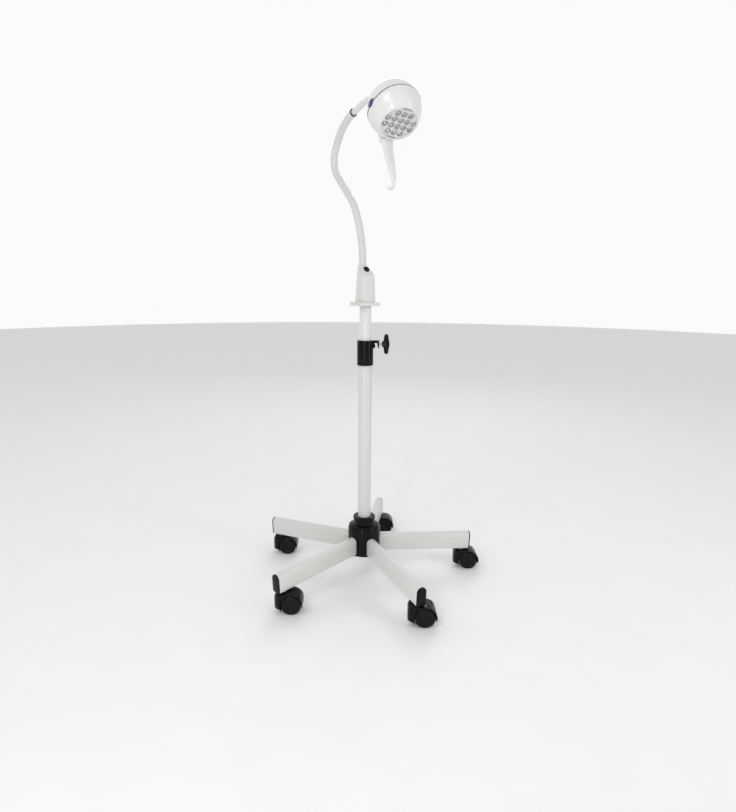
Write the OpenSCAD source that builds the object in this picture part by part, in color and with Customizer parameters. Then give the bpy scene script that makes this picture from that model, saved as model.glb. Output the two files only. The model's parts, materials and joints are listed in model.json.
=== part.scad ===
// Mobile examination and minor-surgery light: five-legged castor base, telescopic mast,
// gooseneck and a round LED head. Origin on the floor on the mast axis, +Z up, the head
// faces -Y and the gooseneck lies in the YZ plane. All sizes in millimetres.

/* [Base] */
// Distance from the mast axis to the outer end of a leg
leg_reach = 300; // [280:5:320]
// Width of a leg tube
leg_w = 25; // [23:0.5:26]
// Height of a leg tube
leg_h = 48; // [44:1:50]
// Height of a leg's lower edge at its outer end
leg_tip_z = 57.5; // [57.5:0.5:60]
// Fall of a leg from the hub to its outer end, in degrees
leg_slope = 3; // [2.5:0.1:3.2]
// Turn of the first leg about the mast, in degrees
leg_turn = -21.3; // [-36:0.1:36]
// Diameter of the hub
hub_d = 87; // [84:1:92]
// Height of the hub's underside
hub_z = 66; // [64:0.5:68]

/* [Casters] */
// Diameter of a caster wheel
wheel_d = 50; // [48:1:50]
// Width of a caster wheel
wheel_w = 14; // [12:0.5:15]
// Distance from the swivel axis to the wheel axle
trail = 20; // [20:0.5:22]
// Direction in which all casters trail, in degrees
trail_turn = -30; // [-180:1:180]

/* [Mast] */
// Outer diameter of the lower mast tube
lower_d = 35; // [34.6:0.1:35.4]
// Outer diameter of the sliding upper tube
upper_d = 30; // [29.8:0.1:30.2]
// Wall thickness of the mast tubes
tube_wall = 2; // [1.8:0.1:2]
// Height of the lower tube's top end
lower_top = 626; // [600:1:626]
// Height of the upper tube's top end at the present setting
upper_top = 736; // [730:1:760]
// Length of the upper tube
upper_len = 562; // [500:1:562]

/* [Clamp] */
// Outer diameter of the clamp collar
collar_d = 42; // [41:0.5:44]
// Height of the clamp collar
collar_h = 64; // [60:1:70]
// Direction in which the clamp knob points, in degrees
knob_turn = -30; // [-180:1:180]
// Span of the knob's two wings
knob_span = 52; // [46:1:56]

/* [Arm base] */
// Side of the square base flange
flange_side = 58.5; // [56:0.5:62]
// Thickness of the base flange
flange_t = 9; // [8:0.5:10]
// Height of the arm base above its flange
housing_h = 91; // [88:1:92]
// Diameter of the power button
button_d = 15; // [13:0.5:15]

/* [Gooseneck] */
// Outer diameter of the gooseneck
neck_d = 18.5; // [17.5:0.5:19]
// Distance of the gooseneck's foot behind the mast axis
neck_back = 15.5; // [14:0.5:16]
// Outer diameter of the rigid tube between gooseneck and head
arm_d = 15.5; // [14.5:0.5:16]

/* [Head] */
// Radius of the head's rear dome
head_r = 61.5; // [61:0.1:62]
// Radius of the curve of the front shell
front_r = 74; // [73.5:0.1:75]
// Distance from the head's centre to its front rim
head_front = 49.5; // [49:0.1:50]
// Angle of the light axis below the horizontal, in degrees
head_tilt = 54; // [50:1:58]
// Turn of the head about the swivel at the gooseneck's end, in degrees
head_roll = -6; // [-20:1:20]
// Distance between neighbouring lenses
lens_pitch = 15.7; // [15.5:0.1:16]
// Diameter of one lens
lens_d = 13; // [12:0.5:13]

/* [Hidden] */

$fn = 96;
// Radial clearance of a running fit
run_gap = 0.05;
// Clearance between pieces that pass each other freely
free_gap = 0.3;
// Overlap that lets a cutter pass through a face
eps = 1;
// Overlap that joins two stretches of one piece
merge = 0.2;

// Legs
leg_count = 5;
leg_step = 360 / leg_count;
leg_wall = 2;
leg_corner = 3;
cap_t = 3;
cap_depth = 42;
leg_root_r = 34;
leg_len = (leg_reach - cap_t - leg_root_r) / cos(leg_slope);
hub_shoulder_z = 148;
hub_ring_z = 171;
hub_floor_z = 84;
hub_ring_d = 60;
bolt_r = 39;
bolt_d = 6;
bolt_head_d = 10;
bolt_head_h = 4;
bolt_len = 16;

// Casters
stem_r = leg_reach - 21;
stem_d = 11;
stem_low = 33;
stem_high = 86;
stem_flange_d = 18;
stem_hole_d = 14;
axle_z = wheel_d / 2;
axle_d = 8;
web_w = 16;
wheel_gap = 0.4;
wheel_face_t = 3;
hood_r = wheel_d / 2 + 4;
hood_w = web_w + 2 * wheel_gap + 2 * wheel_w;
hood_top = axle_z + hood_r;
pocket_r = wheel_d / 2 + 1.3;
skirt_x = 21;
skirt_z = 15;
hood_rear_z = 19;
skirt_corner = 10;
skirt_end = -4;
stem_play = 2;
tread_corner = 2;
wheel_bore_h = wheel_w - wheel_face_t + 0.2;
axle_len = web_w + 2 * (wheel_w - wheel_face_t);

// Clamp
collar_low = 587;
collar_top = collar_low + collar_h;
screw_z = collar_top - 10;
ear_w = 17;
ear_h = 19.5;
ear_end = 36;
ear_plate = 3.5;
nut_r0 = 25;
nut_t = 6.5;
nut_flats = 13;
pad_d = 10;
pad_t = 4;
thread_d = 8;
stud_neck_d = 6;
knob_r0 = 43;
knob_hub_d = 18;
knob_depth = 20;
knob_wing_t = 13;

// Upper mast
plug_h = 8;
plug_insert_h = 14;
spigot_d = 16;
spigot_h = 38;
spigot_collar = 2;
spigot_insert_h = 28;
swivel_gap = 0.2;

// Arm base
flange_z = upper_top + spigot_collar + swivel_gap;
housing_z = flange_z + flange_t;
housing_top = housing_z + housing_h;
flange_y = 3.5;
flange_corner = 6;
boss_d = 26;
boss_h = 26;
housing_wall = 2.5;
front_corner = 9;
front_corner_at = [11.5, -10.5];
rear_corner = 13;
rear_corner_at = [7.5, 13];
roof_edge = 6;
roof_corner_at = [13.4, -8.8];
roof_corner_z = housing_top - 27;
housing_foot_h = 3;
crown_d = 26;
crown_edge = 2;
button_tilt = 43;
button_seat = [0, -4.2, housing_top - 9.3]; // centre of the sloping roof
button_proud = 1.2;
button_len = 5;
board_size = [26, 1.6, 36];
board_at = [-board_size[0] / 2, -10.5, housing_z + boss_h];
grommet_d = 10;
grommet_rim_d = 14;
grommet_rim_t = 2;
grommet_hole_d = 6.6;
grommet_len = 7;
inlet_y = 22.5;
inlet_z = housing_z + 12;

// Gooseneck. A pose is [y, z, lean]; lean is the angle from upright towards +Y.
neck_wall = 3;
neck_ball_r = 6;
neck_half_gap = 3;
neck_plug_len = 9;
neck_tail = 34;
splice_len = 6;
neck_low_r = 260;
neck_mid_r = 100;
neck_back_r = 48;
neck_top_r = 148;
neck_run = 53;
neck_foot_turn = 17;
neck_low_turn = 16;
neck_mid_turn = 15.5;
neck_back_turn = -77;
neck_top_turn = -49.3;
swivel_pin_d = 9;
swivel_pin_len = 22;
ring_t = 3;
ring_d = 20;
arm_run = 46;
arm_bend_r = 115;
arm_bend = -36;
arm_reach = 88;

function line_on(p, len) = [p[0] + len * sin(p[2]), p[1] + len * cos(p[2]), p[2]];
function arc_on(p, r, turn) = [
    p[0] + sign(turn) * r * (cos(p[2]) - cos(p[2] + turn)),
    p[1] + sign(turn) * r * (sin(p[2] + turn) - sin(p[2])),
    p[2] + turn
];

neck_foot = [neck_back, housing_top, 0];
bend_low = arc_on(neck_foot, neck_low_r, neck_foot_turn);
neck_a = arc_on(bend_low, neck_low_r, neck_low_turn);
neck_b = arc_on(neck_a, neck_mid_r, neck_mid_turn);
bend_mid = line_on(neck_b, neck_run);
neck_c = line_on(bend_mid, neck_run);
bend_high = arc_on(neck_c, neck_back_r, neck_back_turn);
neck_end = arc_on(bend_high, neck_top_r, neck_top_turn);
arm_start = line_on(neck_end, ring_t);
arm_a = line_on(arm_start, arm_run);
arm_b = arc_on(arm_a, arm_bend_r, arm_bend);
head_centre = line_on(arm_b, arm_reach);

// Head, in its own frame: origin at its centre, -Z along the light, -Y to its upper side
shell_t = 2.5;
dome_z = -8; // centre of the rear dome's sphere
seam_z = -5;
seam_t = 1.2;
seam_in = 0.5;
seam_lip = 4;
front_c = head_r - front_r;
plate_r = 40;
plate_t = 2.5;
plate_z = -head_front + 1;
plate_hole_gap = 0.2;
lens_plate_t = 1.5;
lens_plate_z = plate_z + plate_t;
lens_cone_h = 7;
board_r = 37.5;
board_t = 1.6;
board_z = lens_plate_z + lens_plate_t + lens_cone_h + 1.2;
led_side = 3;
led_t = 0.8;
sink_r = 38;
sink_base_t = 5;
sink_fin_t = 2;
sink_fin_h = 34;
sink_fins = 7;
sink_z = board_z + board_t;
arm_inside = 12;
sink_room = 2;
oval_len = 22;
oval_w = 14;
oval_z = -8;
oval_depth = 7;
oval_proud = 0.9;
vent_r = 37;
vent_w = 2;
vent_arc = 34;
handle_y = 53;
handle_lean = 9;
handle_len = 100;
handle_top_z = -42;
socket_w = 27;
socket_d = 21;
socket_out = 10.5;
socket_corner = 5;
socket_len = 24;
handle_pin_d = 9;
handle_pin_len = 18;
pin_play = 2;
pin_root = 6;
handle_cap = [24, 9];
handle_cap_t = 2;
grip_out = 7;
grip_down = 42;
grip_d = 18;
hook_r = 12;
hook_d = 8.5;
hook_turn = 160;
hook_step = 0.2;

// ---------- helpers ----------

module tube(od, id, h) {
    difference() {
        cylinder(d = od, h = h);
        translate([0, 0, -eps]) cylinder(d = id, h = h + 2 * eps);
    }
}

// Outline with a full-round top, standing on x = 0 and reaching to x = h
module arch(w, h, corner) {
    translate([h - w / 2, 0]) circle(d = w);
    translate([corner, -w / 2]) square([h - w / 2 - corner, w]);
    translate([0, -w / 2 + corner]) square([corner, w - 2 * corner]);
    for (side = [-1, 1]) translate([corner, side * (w / 2 - corner)]) circle(corner);
}

// Places children at the outer end of leg k, with +Z along the leg towards the hub
module on_leg(k) {
    rotate([0, 0, leg_turn + k * leg_step])
        translate([leg_reach - cap_t, 0, leg_tip_z])
            rotate([0, leg_slope - 90, 0]) children();
}

module leg_bar(k) {
    on_leg(k) linear_extrude(leg_len) arch(leg_w, leg_h, leg_corner);
}

module at_stem(k) {
    rotate([0, 0, leg_turn + k * leg_step]) translate([stem_r, 0, 0]) children();
}

// Places children on the swivel axis of caster k, with +X in the trailing direction
module at_caster(k) {
    at_stem(k) rotate([0, 0, trail_turn - leg_turn - k * leg_step]) children();
}

module stem_bar() {
    translate([0, 0, stem_low]) cylinder(d = stem_d, h = stem_high - stem_low);
}

// Cylinder along +Y, centred on its middle
module axle_bar(d, len) {
    rotate([90, 0, 0]) translate([0, 0, -len / 2]) cylinder(d = d, h = len);
}

// Places children on the clamp screw, with +Z pointing away from the mast
module on_screw(r) {
    rotate([0, 0, knob_turn]) translate([r, 0, screw_z]) rotate([0, 90, 0]) children();
}

// Places children at a gooseneck pose, with +Z along the gooseneck
module at_pose(p) {
    translate([0, p[0], p[1]]) rotate([-p[2], 0, 0]) children();
}

// Round bar or tube along an arc that starts at pose p
module arc_tube(p, r, turn, od, id) {
    k = sign(turn);
    centre = [p[0] + k * r * cos(p[2]), p[1] - k * r * sin(p[2])];
    first = k > 0 ? 180 - p[2] - turn : -p[2];
    translate([0, centre[0], centre[1]]) rotate([90, 0, 90]) rotate([0, 0, first])
        rotate_extrude(angle = abs(turn)) translate([r, 0]) difference() {
            circle(d = od);
            circle(d = id);
        }
}

module line_tube(p, len, od, id) {
    at_pose(p) tube(od, id, len);
}

// Solid end of a gooseneck link, around the joint at pose p
module neck_plug(p) {
    at_pose(p) translate([0, 0, -neck_plug_len])
        cylinder(d = neck_d - neck_wall, h = 2 * neck_plug_len);
}

module neck_gap(p) {
    at_pose(p) translate([0, 0, -neck_half_gap]) cylinder(d = 2 * neck_d, h = 2 * neck_half_gap);
}

// Trims a link above its lower joint and hollows the cup there
module above_joint(p) {
    difference() {
        children();
        neck_gap(p);
        at_pose(p) sphere(neck_ball_r + run_gap);
    }
}

// Trims a link below its upper joint and adds the ball there
module below_joint(p) {
    difference() {
        children();
        neck_gap(p);
    }
    at_pose(p) sphere(neck_ball_r);
}

// Inner sleeve that ties two stretches of a tube together at pose p
module splice(p, d) {
    at_pose(p) translate([0, 0, -splice_len / 2]) cylinder(d = d, h = splice_len);
}

// Keeps the part of a plug that lies above, or below, its joint
module half_plug(p, up) {
    intersection() {
        neck_plug(p);
        at_pose(p) translate([0, 0, up ? 0 : -2 * neck_plug_len])
            cylinder(d = 2 * neck_d, h = 2 * neck_plug_len);
    }
}

// Turns children with the head about the swivel
module rolled() {
    translate([0, neck_end[0], neck_end[1]])
        rotate(a = head_roll, v = [0, sin(neck_end[2]), cos(neck_end[2])])
            translate([0, -neck_end[0], -neck_end[1]]) children();
}

module in_head() {
    rolled() translate([0, head_centre[0], head_centre[1]])
        rotate([head_tilt - 90, 0, 0]) children();
}

// Places children at the sixteen lens centres: four columns' ends cut by the round window
module at_lenses() {
    for (row = [-1.5:1:1.5]) for (col = [-2:1:2])
        if (abs(col) < 2 || abs(row) < 1)
            translate([col * lens_pitch, row * lens_pitch, 0]) children();
}

module oval(grow) {
    len = oval_len + 2 * grow;
    w = oval_w + 2 * grow;
    for (side = [-1, 1]) translate([side * (len - w) / 2, 0]) circle(d = w);
    square([len - w, w], center = true);
}

// Bar with the oval outline through the head's side; side is -1 or 1
module oval_bar(side, grow, r0, r1) {
    translate([side * r0, 0, oval_z]) rotate([0, side * 90, 0]) rotate([0, 0, 90])
        linear_extrude(r1 - r0) oval(grow);
}

// ---------- base ----------

module hub() {
    color([0.06, 0.06, 0.065]) difference() {
        rotate_extrude() polygon([
            [0, hub_z], [hub_d / 2 - 2, hub_z], [hub_d / 2, hub_z + 2],
            [hub_d / 2, hub_shoulder_z - 9], [hub_d / 2 - 2.5, hub_shoulder_z - 2],
            [hub_d / 2 - 8, hub_shoulder_z + 1], [hub_ring_d / 2 - 1.5, hub_shoulder_z + 3],
            [hub_ring_d / 2 - 1.5, hub_ring_z - 9], [hub_ring_d / 2, hub_ring_z - 7],
            [hub_ring_d / 2, hub_ring_z - 1.5], [hub_ring_d / 2 - 1.5, hub_ring_z],
            [0, hub_ring_z]
        ]);
        translate([0, 0, hub_floor_z]) cylinder(d = lower_d, h = hub_ring_z);
        for (k = [0:leg_count - 1]) leg_bar(k);
        for (k = [0:leg_count - 1]) rotate([0, 0, leg_turn + k * leg_step])
            translate([bolt_r, 0, hub_z - eps]) cylinder(d = bolt_d, h = bolt_len);
    }
}

module leg(k) {
    color([0.84, 0.84, 0.82]) difference() {
        leg_bar(k);
        on_leg(k) translate([leg_wall, 0, -eps]) linear_extrude(leg_len + 2 * eps)
            arch(leg_w - 2 * leg_wall, leg_h - 2 * leg_wall, leg_corner - leg_wall);
        at_stem(k) cylinder(d = stem_hole_d, h = leg_tip_z + 6);
        rotate([0, 0, leg_turn + k * leg_step]) translate([bolt_r, 0, hub_z])
            cylinder(d = bolt_d, h = bolt_len);
    }
}

module leg_cap(k) {
    difference() {
        union() {
            on_leg(k) translate([0, 0, -cap_t]) linear_extrude(cap_t)
                arch(leg_w, leg_h, leg_corner);
            on_leg(k) translate([leg_wall, 0, 0]) linear_extrude(cap_depth)
                arch(leg_w - 2 * leg_wall, leg_h - 2 * leg_wall, leg_corner - leg_wall);
        }
        at_stem(k) stem_bar();
    }
}

module leg_caps() {
    color([0.05, 0.05, 0.055]) for (k = [0:leg_count - 1]) leg_cap(k);
}

module caster_stems() {
    color([0.7, 0.7, 0.72]) for (k = [0:leg_count - 1]) at_stem(k) {
        stem_bar();
        translate([0, 0, hood_top + free_gap])
            cylinder(d = stem_flange_d, h = leg_tip_z - hood_top - free_gap);
    }
}

module leg_bolts() {
    color([0.6, 0.6, 0.62]) for (k = [0:leg_count - 1])
        rotate([0, 0, leg_turn + k * leg_step]) translate([bolt_r, 0, hub_z]) {
            translate([0, 0, -bolt_head_h]) cylinder(d = bolt_head_d, h = bolt_head_h);
            cylinder(d = bolt_d, h = bolt_len);
        }
}

module lower_tube() {
    color([0.86, 0.86, 0.84]) translate([0, 0, hub_floor_z])
        tube(lower_d, lower_d - 2 * tube_wall, lower_top - hub_floor_z);
}

// ---------- casters ----------

module hood_side() {
    translate([trail, axle_z]) circle(hood_r);
    translate([skirt_corner - skirt_x, hood_top - skirt_corner]) circle(skirt_corner);
    translate([skirt_corner - skirt_x, axle_z])
        square([trail - skirt_corner + skirt_x, hood_top - axle_z]);
    translate([-skirt_x, skirt_z])
        square([skirt_x + skirt_end, hood_top - skirt_corner - skirt_z]);
}

module hood_plan() {
    circle(d = hood_w);
    translate([0, -hood_w / 2]) square([trail + hood_r, hood_w]);
}

module caster_hood(k) {
    color([0.05, 0.05, 0.055]) at_caster(k) difference() {
        intersection() {
            rotate([90, 0, 0]) translate([0, 0, -hood_w / 2]) linear_extrude(hood_w) hood_side();
            linear_extrude(hood_top) hood_plan();
        }
        for (side = [-1, 1]) translate([trail, side * (web_w + hood_w) / 4, axle_z])
            axle_bar(2 * pocket_r, (hood_w - web_w) / 2);
        translate([skirt_end, -hood_w, -eps])
            cube([trail + 2 * hood_r, 2 * hood_w, hood_rear_z + eps]);
        translate([trail, 0, axle_z]) axle_bar(axle_d, hood_w);
        translate([0, 0, stem_low - stem_play]) cylinder(d = stem_d + 2 * run_gap, h = hood_top);
    }
}

module caster_axle(k) {
    color([0.7, 0.7, 0.72]) at_caster(k) translate([trail, 0, axle_z]) axle_bar(axle_d, axle_len);
}

// Side is -1 or 1 along the axle
module wheel(k, side) {
    color([0.08, 0.08, 0.085]) at_caster(k) translate([trail, 0, axle_z])
        rotate([-90 * side, 0, 0]) translate([0, 0, web_w / 2 + wheel_gap]) difference() {
            rotate_extrude() polygon([
                [0, 0], [wheel_d / 2 - tread_corner, 0], [wheel_d / 2, tread_corner],
                [wheel_d / 2, wheel_w - 3], [wheel_d / 2 - 3, wheel_w - 0.5],
                [wheel_d / 2 - 6, wheel_w], [wheel_d / 2 - 8, wheel_w - 1], [0, wheel_w - 1]
            ]);
            translate([0, 0, -eps]) cylinder(d = axle_d + 2 * run_gap, h = wheel_bore_h + eps);
        }
}

// ---------- clamp ----------

module clamp_collar() {
    color([0.06, 0.06, 0.065]) difference() {
        union() {
            translate([0, 0, collar_low]) cylinder(d = collar_d, h = collar_h);
            rotate([0, 0, knob_turn]) translate([0, -ear_w / 2, collar_top - ear_h])
                cube([ear_end, ear_w, ear_h]);
        }
        translate([0, 0, collar_low - eps]) cylinder(d = lower_d, h = lower_top - collar_low + eps);
        translate([0, 0, lower_top - eps])
            cylinder(d = upper_d + 2 * run_gap, h = collar_top - lower_top + 2 * eps);
        rotate([0, 0, knob_turn])
            translate([nut_r0 - run_gap, -ear_w, collar_top - ear_h - eps])
                cube([ear_end - ear_plate - nut_r0 + run_gap, 2 * ear_w, ear_h - ear_plate + eps]);
        on_screw(0) cylinder(d = pad_d + 2 * run_gap, h = upper_d / 2 + pad_t + 2);
        on_screw(0) cylinder(d = thread_d + 2 * run_gap, h = ear_end + eps);
    }
}

module clamp_nut() {
    color([0.82, 0.83, 0.84]) on_screw(nut_r0) difference() {
        rotate([0, 0, 30]) cylinder(d = nut_flats / cos(30), h = nut_t, $fn = 6);
        translate([0, 0, -eps]) cylinder(d = thread_d + 2 * run_gap, h = nut_t + 2 * eps);
    }
}

module clamp_pad() {
    color([0.8, 0.66, 0.36]) difference() {
        on_screw(0) cylinder(d = pad_d, h = upper_d / 2 + pad_t);
        translate([0, 0, collar_low]) cylinder(d = upper_d + 2 * run_gap, h = collar_h + eps);
    }
}

module clamp_stud() {
    color([0.75, 0.76, 0.78]) {
        on_screw(upper_d / 2 + pad_t + run_gap)
            cylinder(d = thread_d, h = nut_r0 + nut_t - upper_d / 2);
        on_screw(nut_r0) cylinder(d = stud_neck_d, h = knob_r0 - nut_r0 + knob_depth / 2);
    }
}

module clamp_knob() {
    wing_r = knob_wing_t / 2;
    color([0.05, 0.05, 0.055]) on_screw(knob_r0) difference() {
        union() {
            cylinder(d1 = knob_hub_d - 3, d2 = knob_hub_d, h = knob_depth / 2);
            for (side = [-1, 1]) hull() {
                translate([0, 0, knob_depth - wing_r - 1]) sphere(wing_r + 1, $fn = 32);
                translate([side * (knob_span / 2 - wing_r + 1), 0, knob_depth / 2 + 1])
                    sphere(wing_r - 1, $fn = 32);
                translate([0, 0, knob_depth / 2]) sphere(wing_r + 1, $fn = 32);
            }
        }
        translate([0, 0, -eps]) cylinder(d = stud_neck_d, h = knob_depth / 2 + eps);
    }
}

// ---------- upper mast ----------

module upper_tube() {
    color([0.93, 0.93, 0.92]) translate([0, 0, upper_top - upper_len])
        tube(upper_d, upper_d - 2 * tube_wall, upper_len);
}

module slide_plug() {
    low = upper_top - upper_len;
    color([0.2, 0.2, 0.21]) {
        translate([0, 0, low - plug_h])
            cylinder(d = lower_d - 2 * tube_wall - 2 * run_gap, h = plug_h);
        translate([0, 0, low]) cylinder(d = upper_d - 2 * tube_wall, h = plug_insert_h);
    }
}

module arm_spigot() {
    color([0.72, 0.73, 0.75]) {
        translate([0, 0, upper_top - spigot_insert_h])
            cylinder(d = upper_d - 2 * tube_wall, h = spigot_insert_h);
        translate([0, 0, upper_top]) cylinder(d = upper_d, h = spigot_collar);
        translate([0, 0, upper_top]) cylinder(d = spigot_d, h = spigot_h);
    }
}

// ---------- arm base ----------

module rounded_square(side, corner) {
    square([side - 2 * corner, side], center = true);
    square([side, side - 2 * corner], center = true);
    for (x = [-1, 1]) for (y = [-1, 1])
        translate([x * (side / 2 - corner), y * (side / 2 - corner)]) circle(corner);
}

module base_flange() {
    color([0.84, 0.84, 0.82]) difference() {
        union() {
            translate([0, flange_y, flange_z]) linear_extrude(flange_t)
                rounded_square(flange_side, flange_corner);
            translate([0, 0, housing_z]) cylinder(d = boss_d, h = boss_h);
        }
        translate([0, 0, flange_z - eps])
            cylinder(d = spigot_d + 2 * run_gap, h = flange_t + boss_h + 2 * eps);
    }
}

// Outer form of the housing, shrunk by inset for the cavity
module housing_form(inset) {
    low = housing_z - (inset > 0 ? eps : 0);
    hull() {
        for (x = [-1, 1]) {
            translate([x * front_corner_at[0], front_corner_at[1], low])
                cylinder(r = front_corner - inset, h = housing_foot_h, $fn = 32);
            translate([x * rear_corner_at[0], rear_corner_at[1], low])
                cylinder(r = rear_corner - inset, h = housing_foot_h, $fn = 32);
            translate([x * roof_corner_at[0], roof_corner_at[1], roof_corner_z])
                sphere(roof_edge - inset, $fn = 32);
        }
        translate([0, neck_back - 1, housing_top - crown_edge - inset])
            cylinder(d1 = crown_d - 2 * inset, d2 = crown_d - 2 * inset - 4, h = crown_edge, $fn = 32);
    }
}

module on_button() {
    translate(button_seat) rotate([90 - button_tilt, 0, 0]) children();
}

// Places children in the rear wall at the cable inlet, with +Z pointing out
module on_inlet() {
    translate([0, inlet_y, inlet_z]) rotate([-90, 0, 0]) children();
}

module base_housing() {
    color([0.85, 0.85, 0.83]) difference() {
        housing_form(0);
        housing_form(housing_wall);
        translate([0, neck_back, housing_z]) cylinder(d = neck_d, h = housing_h + eps);
        on_button() translate([0, 0, -button_len])
            cylinder(d = button_d + 2 * free_gap, h = 4 * button_len);
        on_inlet() cylinder(d = grommet_d, h = grommet_len);
    }
}

module driver_board() {
    color([0.1, 0.4, 0.2]) translate(board_at) cube(board_size);
}

module cable_grommet() {
    rim_z = rear_corner_at[1] + rear_corner - inlet_y + free_gap;
    color([0.08, 0.08, 0.085]) on_inlet() difference() {
        union() {
            cylinder(d = grommet_d, h = grommet_len);
            translate([0, 0, rim_z]) cylinder(d = grommet_rim_d, h = grommet_rim_t);
        }
        translate([0, 0, -eps]) cylinder(d = grommet_hole_d, h = grommet_len + 2 * eps);
    }
}

module power_button() {
    color([0.05, 0.05, 0.055]) on_button() translate([0, 0, button_proud - button_len])
        cylinder(d = button_d, h = button_len);
}

// ---------- gooseneck ----------

module neck_link_1() {
    bore = neck_d - 2 * neck_wall;
    color([0.91, 0.91, 0.9]) below_joint(bend_low) {
        translate([0, neck_back, housing_top - neck_tail]) tube(neck_d, bore, neck_tail);
        arc_tube(neck_foot, neck_low_r, neck_foot_turn, neck_d, bore);
        splice(neck_foot, neck_d - neck_wall);
        half_plug(bend_low, false);
    }
}

module neck_link_2() {
    bore = neck_d - 2 * neck_wall;
    color([0.91, 0.91, 0.9]) below_joint(bend_mid) above_joint(bend_low) {
        arc_tube(bend_low, neck_low_r, neck_low_turn, neck_d, bore);
        arc_tube(neck_a, neck_mid_r, neck_mid_turn, neck_d, bore);
        line_tube(neck_b, neck_run, neck_d, bore);
        splice(neck_a, neck_d - neck_wall);
        splice(neck_b, neck_d - neck_wall);
        half_plug(bend_low, true);
        half_plug(bend_mid, false);
    }
}

module neck_link_3() {
    bore = neck_d - 2 * neck_wall;
    color([0.91, 0.91, 0.9]) below_joint(bend_high) above_joint(bend_mid) {
        line_tube(bend_mid, neck_run, neck_d, bore);
        arc_tube(neck_c, neck_back_r, neck_back_turn, neck_d, bore);
        splice(neck_c, neck_d - neck_wall);
        half_plug(bend_mid, true);
        half_plug(bend_high, false);
    }
}

module neck_link_4() {
    bore = neck_d - 2 * neck_wall;
    color([0.91, 0.91, 0.9]) {
        above_joint(bend_high) {
            arc_tube(bend_high, neck_top_r, neck_top_turn, neck_d, bore);
            half_plug(bend_high, true);
            half_plug(neck_end, false);
        }
        at_pose(neck_end) cylinder(d = swivel_pin_d, h = swivel_pin_len);
    }
}

module swivel_ring() {
    color([0.05, 0.05, 0.055]) at_pose(neck_end) tube(ring_d, swivel_pin_d, ring_t);
}

module arm_tube() {
    bore = swivel_pin_d + 2 * run_gap;
    color([0.93, 0.93, 0.92]) rolled() {
        at_pose(line_on(arm_start, free_gap)) tube(arm_d, bore, arm_run - free_gap);
        arc_tube(arm_a, arm_bend_r, arm_bend, arm_d, bore);
        line_tube(arm_b, arm_reach - head_r + arm_inside, arm_d, bore);
        splice(arm_a, (arm_d + bore) / 2);
        splice(arm_b, (arm_d + bore) / 2);
    }
}

// ---------- head ----------

// Ovals cut through the shells for the two push buttons
module oval_cuts() {
    for (side = [-1, 1]) oval_bar(side, free_gap, head_r - oval_depth - eps, head_r + 4);
}

// Half section inside the front shell's outer or inner curve
module front_section(r) {
    intersection() {
        translate([front_c, 0]) circle(r, $fn = 180);
        translate([0, -head_front]) square([head_r + eps, head_front + seam_z - seam_t / 2]);
    }
}

// Half section inside the rear dome's outer or inner curve
module rear_section(r) {
    intersection() {
        translate([0, dome_z]) circle(r, $fn = 180);
        translate([0, seam_z + seam_t / 2]) square([head_r + eps, 2 * head_r]);
    }
}

module front_shell() {
    color([0.95, 0.95, 0.94]) in_head() difference() {
        rotate([0, 0, 90]) rotate_extrude() difference() {
            front_section(front_r);
            front_section(front_r - shell_t);
            translate([0, -head_front - eps]) square([plate_r, head_front]);
        }
        oval_cuts();
        socket_form();
    }
}

module rear_shell() {
    color([0.95, 0.95, 0.94]) difference() {
        in_head() rotate([0, 0, 90]) rotate_extrude() difference() {
            rear_section(head_r);
            rear_section(head_r - shell_t);
        }
        in_head() oval_cuts();
        rolled() at_pose(arm_b) cylinder(d = arm_d, h = arm_reach - head_r / 2);
    }
}

module seam_band() {
    r = sqrt(head_r * head_r - seam_z * seam_z) - seam_in;
    color([0.3, 0.3, 0.32]) in_head() difference() {
        translate([0, 0, seam_z - seam_t / 2]) tube(2 * r, 2 * (r - seam_lip), seam_t);
        oval_cuts();
    }
}

module vent(a, len) {
    rotate([0, 0, a - len / 2]) rotate_extrude(angle = len)
        translate([vent_r - vent_w / 2, 0]) square([vent_w, plate_t + 2 * eps]);
}

module window_plate() {
    color([0.9, 0.9, 0.89]) in_head() translate([0, 0, plate_z]) difference() {
        cylinder(r = plate_r, h = plate_t);
        translate([0, 0, -eps]) at_lenses()
            cylinder(d = lens_d + 2 * plate_hole_gap, h = plate_t + 2 * eps);
        translate([0, 0, -eps]) for (side = [-90, 90]) vent(side, vent_arc);
    }
}

module lens_plate() {
    color([0.75, 0.78, 0.8, 0.5]) in_head() translate([0, 0, lens_plate_z]) {
        cylinder(r = board_r, h = lens_plate_t);
        at_lenses() translate([0, 0, -plate_t]) cylinder(d = lens_d, h = plate_t + eps);
        at_lenses() translate([0, 0, lens_plate_t - merge])
            cylinder(d1 = lens_d - 1, d2 = led_side + 1.5, h = lens_cone_h, $fn = 24);
    }
}

module led_board() {
    color([0.85, 0.86, 0.84]) in_head() translate([0, 0, board_z]) {
        cylinder(r = board_r, h = board_t);
        at_lenses() translate([-led_side / 2, -led_side / 2, -led_t])
            cube([led_side, led_side, led_t + merge]);
    }
}

module heat_sink() {
    pitch = 2 * sink_r / (sink_fins + 1);
    color([0.6, 0.61, 0.63]) difference() {
        in_head() translate([0, 0, sink_z]) {
            cylinder(r = sink_r, h = sink_base_t);
            intersection() {
                for (k = [1:sink_fins])
                    translate([-sink_r + k * pitch - sink_fin_t / 2, -sink_r, sink_base_t - merge])
                        cube([sink_fin_t, 2 * sink_r, sink_fin_h]);
                cylinder(r = sink_r, h = sink_base_t + sink_fin_h);
            }
        }
        rolled() at_pose(arm_b)
            cylinder(r = arm_d / 2 + sink_room, h = arm_reach - head_r + arm_inside + sink_room);
    }
}

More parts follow.
